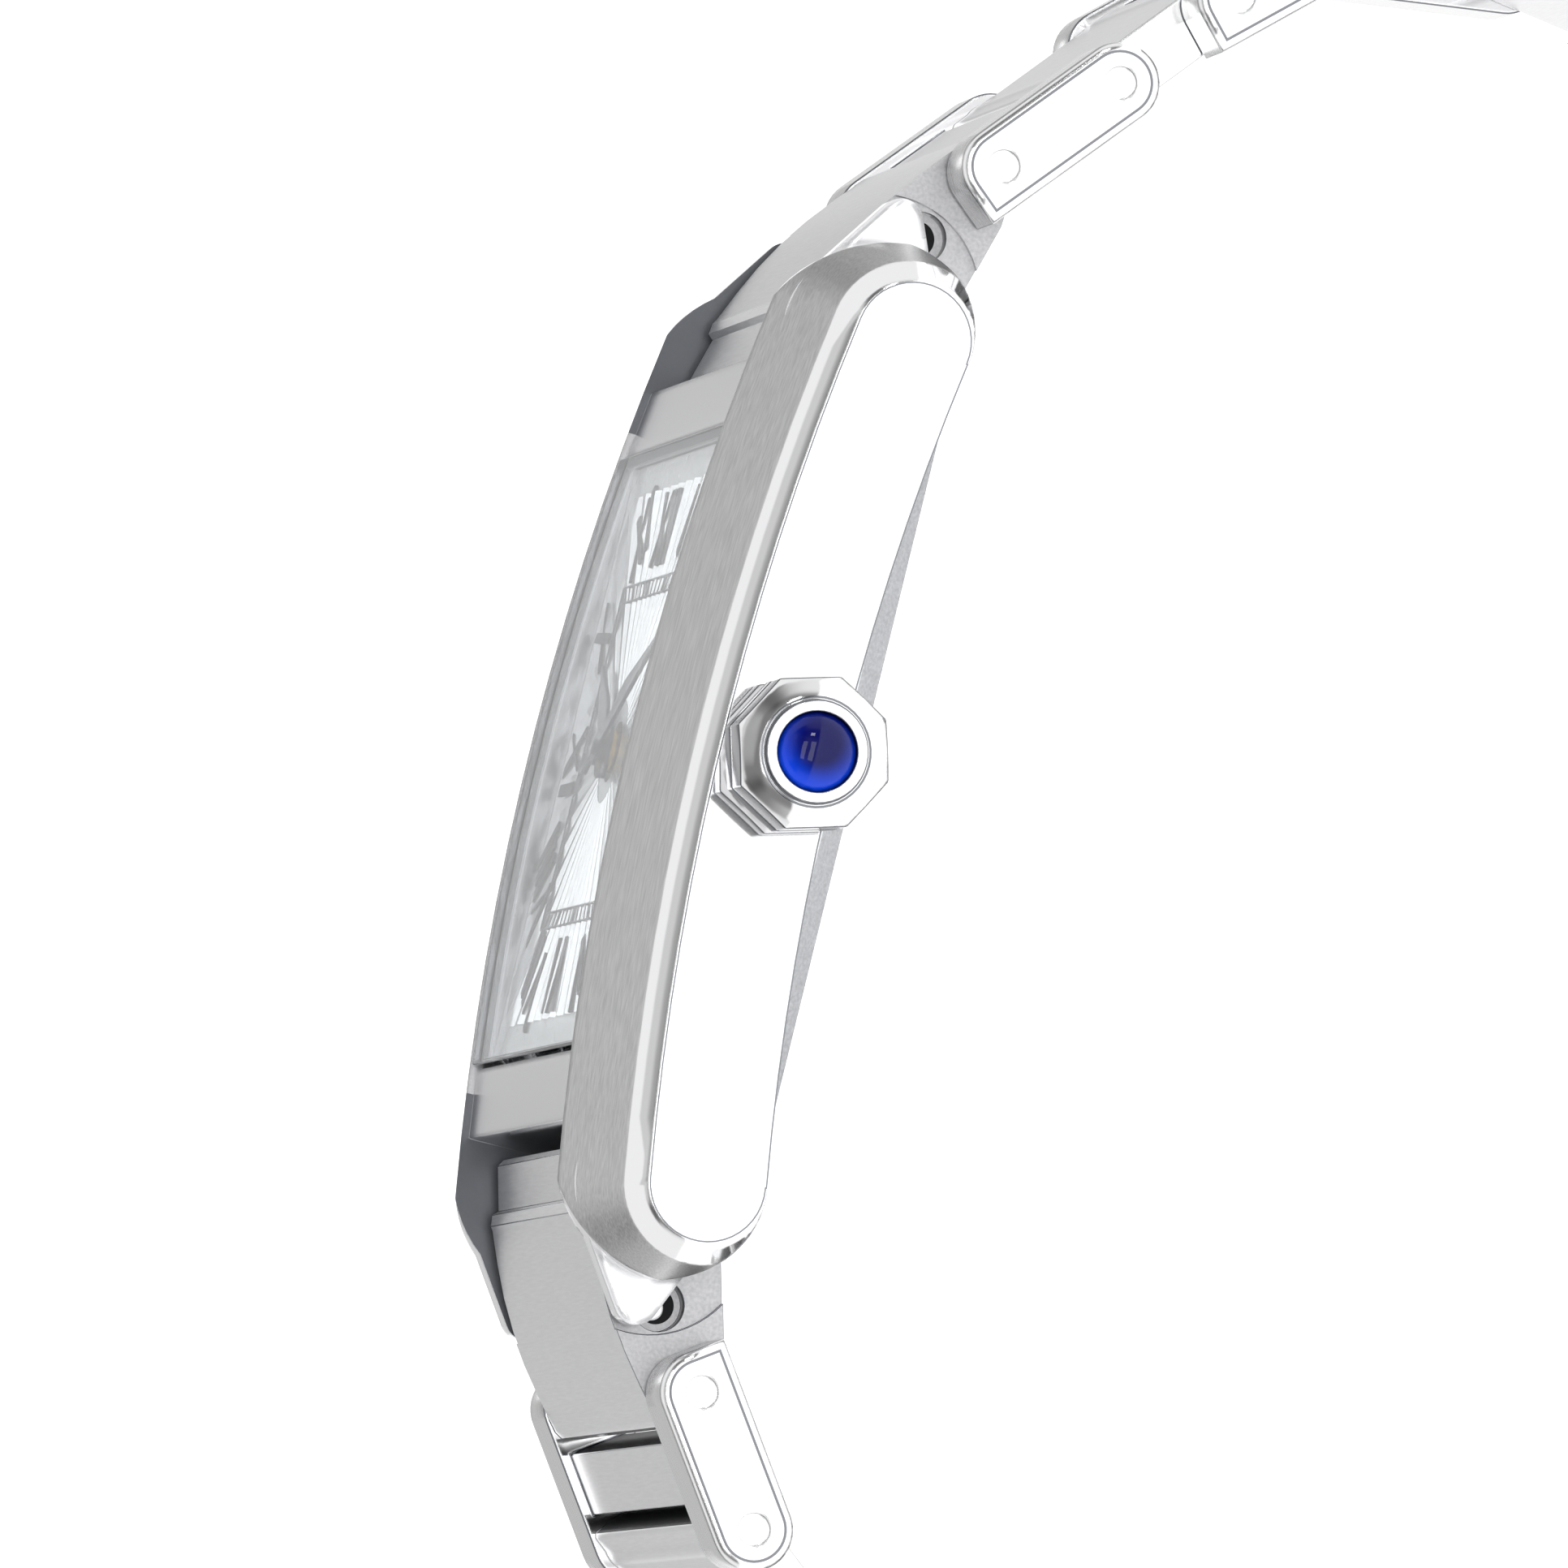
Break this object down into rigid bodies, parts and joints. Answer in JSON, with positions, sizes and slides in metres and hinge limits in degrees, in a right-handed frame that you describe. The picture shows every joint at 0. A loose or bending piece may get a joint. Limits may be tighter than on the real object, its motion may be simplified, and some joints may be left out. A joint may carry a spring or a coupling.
{
  "type": "wristwatch",
  "caption": "Rectangular steel wristwatch with an arched case, octagonal blue-stone crown and an articulated link bracelet that closes on a hidden folding clasp.",
  "frame": {"origin": "centre of the flat outer face of the case back", "axes": "+Z out through the dial and glass, +Y to 12 o'clock along the case, +X to 3 o'clock where the crown is"},
  "size_m": [0.031, 0.0615, 0.0458],
  "materials": {
    "black_rubber": "black nitrile rubber",
    "blue_stone": "polished synthetic blue spinel",
    "brass": "plain turned brass",
    "case_steel": "stainless steel, polished sides and brushed slopes",
    "cell_steel": "nickel-plated steel can",
    "copper_wire": "enamelled copper winding",
    "green_board": "glass-fibre circuit board",
    "grey_seal": "grey plastic seal",
    "hand_steel": "blued steel, polished",
    "polished_steel": "mirror-polished stainless steel",
    "sapphire": "clear sapphire glass",
    "satin_steel": "fine brushed stainless steel",
    "silvered_dial": "silvered, engine-turned rays under clear lacquer",
    "white_plastic": "moulded plastic"
  },
  "bodies": {
    "case": {"case_middle": "case_steel", "case_back": "polished_steel", "back_screws": "polished_steel", "back_gasket": "black_rubber", "crystal": "sapphire", "crystal_gasket": "grey_seal", "dial": "silvered_dial", "movement_plate": "brass", "movement_ring": "white_plastic", "battery": "cell_steel", "circuit_board": "green_board", "motor_coil": "copper_wire", "crown_tube": "polished_steel", "lug_pins": "polished_steel"},
    "minute_hand": {"minute_hand": "hand_steel", "cannon_pinion": "brass"},
    "hour_hand": {"hour_hand": "hand_steel", "hour_wheel": "brass"},
    "setting_lever": {"setting_lever": "polished_steel"},
    "crown": {"stem": "polished_steel", "crown": "polished_steel", "crown_stone": "blue_stone", "crown_gasket": "black_rubber"},
    "end_link_12": {"end_link_12": "satin_steel"},
    "side_link_12_1": {"side_link_12_1": "polished_steel"},
    "centre_link_12_1": {"centre_link_12_1": "satin_steel"},
    "side_link_12_2": {"side_link_12_2": "polished_steel"},
    "centre_link_12_2": {"centre_link_12_2": "satin_steel"},
    "side_link_12_3": {"side_link_12_3": "polished_steel"},
    "centre_link_12_3": {"centre_link_12_3": "satin_steel"},
    "side_link_12_4": {"side_link_12_4": "polished_steel"},
    "centre_link_12_4": {"centre_link_12_4": "satin_steel"},
    "side_link_12_5": {"side_link_12_5": "polished_steel"},
    "centre_link_12_5": {"centre_link_12_5": "satin_steel"},
    "side_link_12_6": {"side_link_12_6": "polished_steel"},
    "centre_link_12_6": {"centre_link_12_6": "satin_steel"},
    "side_link_12_7": {"side_link_12_7": "polished_steel"},
    "clasp_end_12": {"clasp_end_12": "satin_steel"},
    "end_link_6": {"end_link_6": "satin_steel"},
    "side_link_6_1": {"side_link_6_1": "polished_steel"},
    "centre_link_6_1": {"centre_link_6_1": "satin_steel"},
    "side_link_6_2": {"side_link_6_2": "polished_steel"},
    "centre_link_6_2": {"centre_link_6_2": "satin_steel"},
    "side_link_6_3": {"side_link_6_3": "polished_steel"},
    "centre_link_6_3": {"centre_link_6_3": "satin_steel"},
    "side_link_6_4": {"side_link_6_4": "polished_steel"},
    "centre_link_6_4": {"centre_link_6_4": "satin_steel"},
    "side_link_6_5": {"side_link_6_5": "polished_steel"},
    "centre_link_6_5": {"centre_link_6_5": "satin_steel"},
    "side_link_6_6": {"side_link_6_6": "polished_steel"},
    "centre_link_6_6": {"centre_link_6_6": "satin_steel"},
    "side_link_6_7": {"side_link_6_7": "polished_steel"},
    "clasp_end_6": {"clasp_end_6": "satin_steel"},
    "clasp_arm_12": {"clasp_arm_12": "polished_steel"},
    "clasp_blade": {"clasp_blade": "polished_steel", "clasp_pins": "polished_steel"},
    "clasp_arm_6": {"clasp_arm_6": "polished_steel"}
  },
  "joints": [
    {"name": "minute_hand_turn", "type": "hinge", "parent": "case", "child": "minute_hand", "pos_m": [0, 0, 0.00536], "axis": [0, 0, -1], "continuous": true},
    {"name": "hour_hand_turn", "type": "hinge", "parent": "case", "child": "hour_hand", "pos_m": [0, 0, 0.00512], "axis": [0, 0, -1], "continuous": true},
    {"name": "crown_pull", "type": "slide", "parent": "case", "child": "setting_lever", "axis": [1, 0, 0], "range_m": [0, 0.0008]},
    {"name": "crown_turn", "type": "hinge", "parent": "setting_lever", "child": "crown", "pos_m": [0.01375, 0, 0.0025], "axis": [1, 0, 0], "continuous": true},
    {"name": "lug_12", "type": "hinge", "parent": "case", "child": "end_link_12", "pos_m": [0, 0.01303, 0.00203], "axis": [-1, 0, 0], "range_deg": [-3.09, 0]},
    {"name": "pin_12_1", "type": "hinge", "parent": "end_link_12", "child": "side_link_12_1", "pos_m": [0, 0.019, 0.00036], "axis": [-1, 0, 0], "range_deg": [-8.52, 0]},
    {"name": "pin_12_2", "type": "hinge", "parent": "side_link_12_1", "child": "centre_link_12_1", "pos_m": [0, 0.02234, -0.0025], "axis": [-1, 0, 0], "range_deg": [0, 1.59]},
    {"name": "pin_12_3", "type": "hinge", "parent": "centre_link_12_1", "child": "side_link_12_2", "pos_m": [0, 0.02579, -0.00539], "axis": [-1, 0, 0], "range_deg": [0, 1.59]},
    {"name": "pin_12_4", "type": "hinge", "parent": "side_link_12_2", "child": "centre_link_12_2", "pos_m": [0, 0.02879, -0.00861], "axis": [-1, 0, 0], "range_deg": [0, 1.59]},
    {"name": "pin_12_5", "type": "hinge", "parent": "centre_link_12_2", "child": "side_link_12_3", "pos_m": [0, 0.03068, -0.0127], "axis": [-1, 0, 0], "range_deg": [0, 1.59]},
    {"name": "pin_12_6", "type": "hinge", "parent": "side_link_12_3", "child": "centre_link_12_3", "pos_m": [0, 0.03128, -0.01706], "axis": [-1, 0, 0], "range_deg": [0, 1.59]},
    {"name": "pin_12_7", "type": "hinge", "parent": "centre_link_12_3", "child": "side_link_12_4", "pos_m": [0, 0.03066, -0.02151], "axis": [-1, 0, 0], "range_deg": [0, 1.59]},
    {"name": "pin_12_8", "type": "hinge", "parent": "side_link_12_4", "child": "centre_link_12_4", "pos_m": [0, 0.02897, -0.02558], "axis": [-1, 0, 0], "range_deg": [-14.9, 0]},
    {"name": "pin_12_9", "type": "hinge", "parent": "centre_link_12_4", "child": "side_link_12_5", "pos_m": [0, 0.02634, -0.02923], "axis": [-1, 0, 0], "range_deg": [-13.68, 0]},
    {"name": "pin_12_10", "type": "hinge", "parent": "side_link_12_5", "child": "centre_link_12_5", "pos_m": [0, 0.02308, -0.03218], "axis": [-1, 0, 0], "range_deg": [-12.46, 0]},
    {"name": "pin_12_11", "type": "hinge", "parent": "centre_link_12_5", "child": "side_link_12_6", "pos_m": [0, 0.01923, -0.03451], "axis": [-1, 0, 0], "range_deg": [-11.23, 0]},
    {"name": "pin_12_12", "type": "hinge", "parent": "side_link_12_6", "child": "centre_link_12_6", "pos_m": [0, 0.01514, -0.03613], "axis": [-1, 0, 0], "range_deg": [-10.01, 0]},
    {"name": "pin_12_13", "type": "hinge", "parent": "centre_link_12_6", "child": "side_link_12_7", "pos_m": [0, 0.01076, -0.03716], "axis": [-1, 0, 0], "range_deg": [0, 1.59]},
    {"name": "pin_12_14", "type": "hinge", "parent": "side_link_12_7", "child": "clasp_end_12", "pos_m": [0, 0.00638, -0.03762], "axis": [-1, 0, 0], "range_deg": [0, 1.59]},
    {"name": "lug_6", "type": "hinge", "parent": "case", "child": "end_link_6", "pos_m": [0, -0.01303, 0.00203], "axis": [1, 0, 0], "range_deg": [0, 1.59]},
    {"name": "pin_6_1", "type": "hinge", "parent": "end_link_6", "child": "side_link_6_1", "pos_m": [0, -0.01902, 0.00043], "axis": [1, 0, 0], "range_deg": [0, 1.59]},
    {"name": "pin_6_2", "type": "hinge", "parent": "side_link_6_1", "child": "centre_link_6_1", "pos_m": [0, -0.02262, -0.0021], "axis": [1, 0, 0], "range_deg": [0, 1.59]},
    {"name": "pin_6_3", "type": "hinge", "parent": "centre_link_6_1", "child": "side_link_6_2", "pos_m": [0, -0.02542, -0.00562], "axis": [1, 0, 0], "range_deg": [0, 1.59]},
    {"name": "pin_6_4", "type": "hinge", "parent": "side_link_6_2", "child": "centre_link_6_2", "pos_m": [0, -0.02712, -0.00968], "axis": [1, 0, 0], "range_deg": [0, 1.59]},
    {"name": "pin_6_5", "type": "hinge", "parent": "centre_link_6_2", "child": "side_link_6_3", "pos_m": [0, -0.02775, -0.01413], "axis": [1, 0, 0], "range_deg": [0, 1.59]},
    {"name": "pin_6_6", "type": "hinge", "parent": "side_link_6_3", "child": "centre_link_6_3", "pos_m": [0, -0.0273, -0.01851], "axis": [1, 0, 0], "range_deg": [0, 1.09]},
    {"name": "pin_6_7", "type": "hinge", "parent": "centre_link_6_3", "child": "side_link_6_4", "pos_m": [0, -0.02584, -0.02277], "axis": [1, 0, 0], "range_deg": [-13.04, 0]},
    {"name": "pin_6_8", "type": "hinge", "parent": "side_link_6_4", "child": "centre_link_6_4", "pos_m": [0, -0.02358, -0.02655], "axis": [1, 0, 0], "range_deg": [-12.74, 0]},
    {"name": "pin_6_9", "type": "hinge", "parent": "centre_link_6_4", "child": "side_link_6_5", "pos_m": [0, -0.02057, -0.02989], "axis": [1, 0, 0], "range_deg": [-11.84, 0]},
    {"name": "pin_6_10", "type": "hinge", "parent": "side_link_6_5", "child": "centre_link_6_5", "pos_m": [0, -0.01709, -0.03258], "axis": [1, 0, 0], "range_deg": [-10.94, 0]},
    {"name": "pin_6_11", "type": "hinge", "parent": "centre_link_6_5", "child": "side_link_6_6", "pos_m": [0, -0.01313, -0.03472], "axis": [1, 0, 0], "range_deg": [-10.03, 0]},
    {"name": "pin_6_12", "type": "hinge", "parent": "side_link_6_6", "child": "centre_link_6_6", "pos_m": [0, -0.00899, -0.03621], "axis": [1, 0, 0], "range_deg": [-9.13, 0]},
    {"name": "pin_6_13", "type": "hinge", "parent": "centre_link_6_6", "child": "side_link_6_7", "pos_m": [0, -0.0046, -0.03718], "axis": [1, 0, 0], "range_deg": [-8.23, 0]},
    {"name": "pin_6_14", "type": "hinge", "parent": "side_link_6_7", "child": "clasp_end_6", "pos_m": [0, -0.00022, -0.03762], "axis": [1, 0, 0], "range_deg": [-7.32, 0]},
    {"name": "arm_12_turn", "type": "hinge", "parent": "clasp_end_12", "child": "clasp_arm_12", "pos_m": [0, 0.00438, -0.0357], "axis": [1, 0, 0], "range_deg": [0, 42.25]},
    {"name": "clasp_open", "type": "hinge", "parent": "clasp_arm_12", "child": "clasp_blade", "pos_m": [0, 0.01468, -0.03432], "axis": [-1, 0, 0], "range_deg": [0, 95.7]},
    {"name": "arm_6_turn", "type": "hinge", "parent": "clasp_blade", "child": "clasp_arm_6", "pos_m": [0, -0.00852, -0.03432], "axis": [-1, 0, 0], "range_deg": [0, 107.08]}
  ],
  "couplings": [
    {"joint": "hour_hand_turn", "follows": "minute_hand_turn", "ratio": 0.083333},
    {"joint": "lug_12", "follows": "clasp_open", "ratio": -0.03135},
    {"joint": "pin_12_1", "follows": "clasp_open", "ratio": -0.08811},
    {"joint": "pin_12_2", "follows": "clasp_open", "ratio": 0.01567},
    {"joint": "pin_12_3", "follows": "clasp_open", "ratio": 0.01567},
    {"joint": "pin_12_4", "follows": "clasp_open", "ratio": 0.01567},
    {"joint": "pin_12_5", "follows": "clasp_open", "ratio": 0.01567},
    {"joint": "pin_12_6", "follows": "clasp_open", "ratio": 0.01567},
    {"joint": "pin_12_7", "follows": "clasp_open", "ratio": 0.01567},
    {"joint": "pin_12_8", "follows": "clasp_open", "ratio": -0.15479},
    {"joint": "pin_12_9", "follows": "clasp_open", "ratio": -0.14202},
    {"joint": "pin_12_10", "follows": "clasp_open", "ratio": -0.12924},
    {"joint": "pin_12_11", "follows": "clasp_open", "ratio": -0.11646},
    {"joint": "pin_12_12", "follows": "clasp_open", "ratio": -0.10369},
    {"joint": "pin_12_13", "follows": "clasp_open", "ratio": 0.01567},
    {"joint": "pin_12_14", "follows": "clasp_open", "ratio": 0.01567},
    {"joint": "lug_6", "follows": "clasp_open", "ratio": 0.01567},
    {"joint": "pin_6_1", "follows": "clasp_open", "ratio": 0.01567},
    {"joint": "pin_6_2", "follows": "clasp_open", "ratio": 0.01567},
    {"joint": "pin_6_3", "follows": "clasp_open", "ratio": 0.01567},
    {"joint": "pin_6_4", "follows": "clasp_open", "ratio": 0.01567},
    {"joint": "pin_6_5", "follows": "clasp_open", "ratio": 0.01567},
    {"joint": "pin_6_6", "follows": "clasp_open", "ratio": 0.0105},
    {"joint": "pin_6_7", "follows": "clasp_open", "ratio": -0.13528},
    {"joint": "pin_6_8", "follows": "clasp_open", "ratio": -0.13222},
    {"joint": "pin_6_9", "follows": "clasp_open", "ratio": -0.12278},
    {"joint": "pin_6_10", "follows": "clasp_open", "ratio": -0.11334},
    {"joint": "pin_6_11", "follows": "clasp_open", "ratio": -0.10391},
    {"joint": "pin_6_12", "follows": "clasp_open", "ratio": -0.09447},
    {"joint": "pin_6_13", "follows": "clasp_open", "ratio": -0.08503},
    {"joint": "pin_6_14", "follows": "clasp_open", "ratio": -0.07559},
    {"joint": "arm_12_turn", "follows": "clasp_open", "ratio": 0.44057},
    {"joint": "arm_6_turn", "follows": "clasp_open", "ratio": 1.1179}
  ]
}
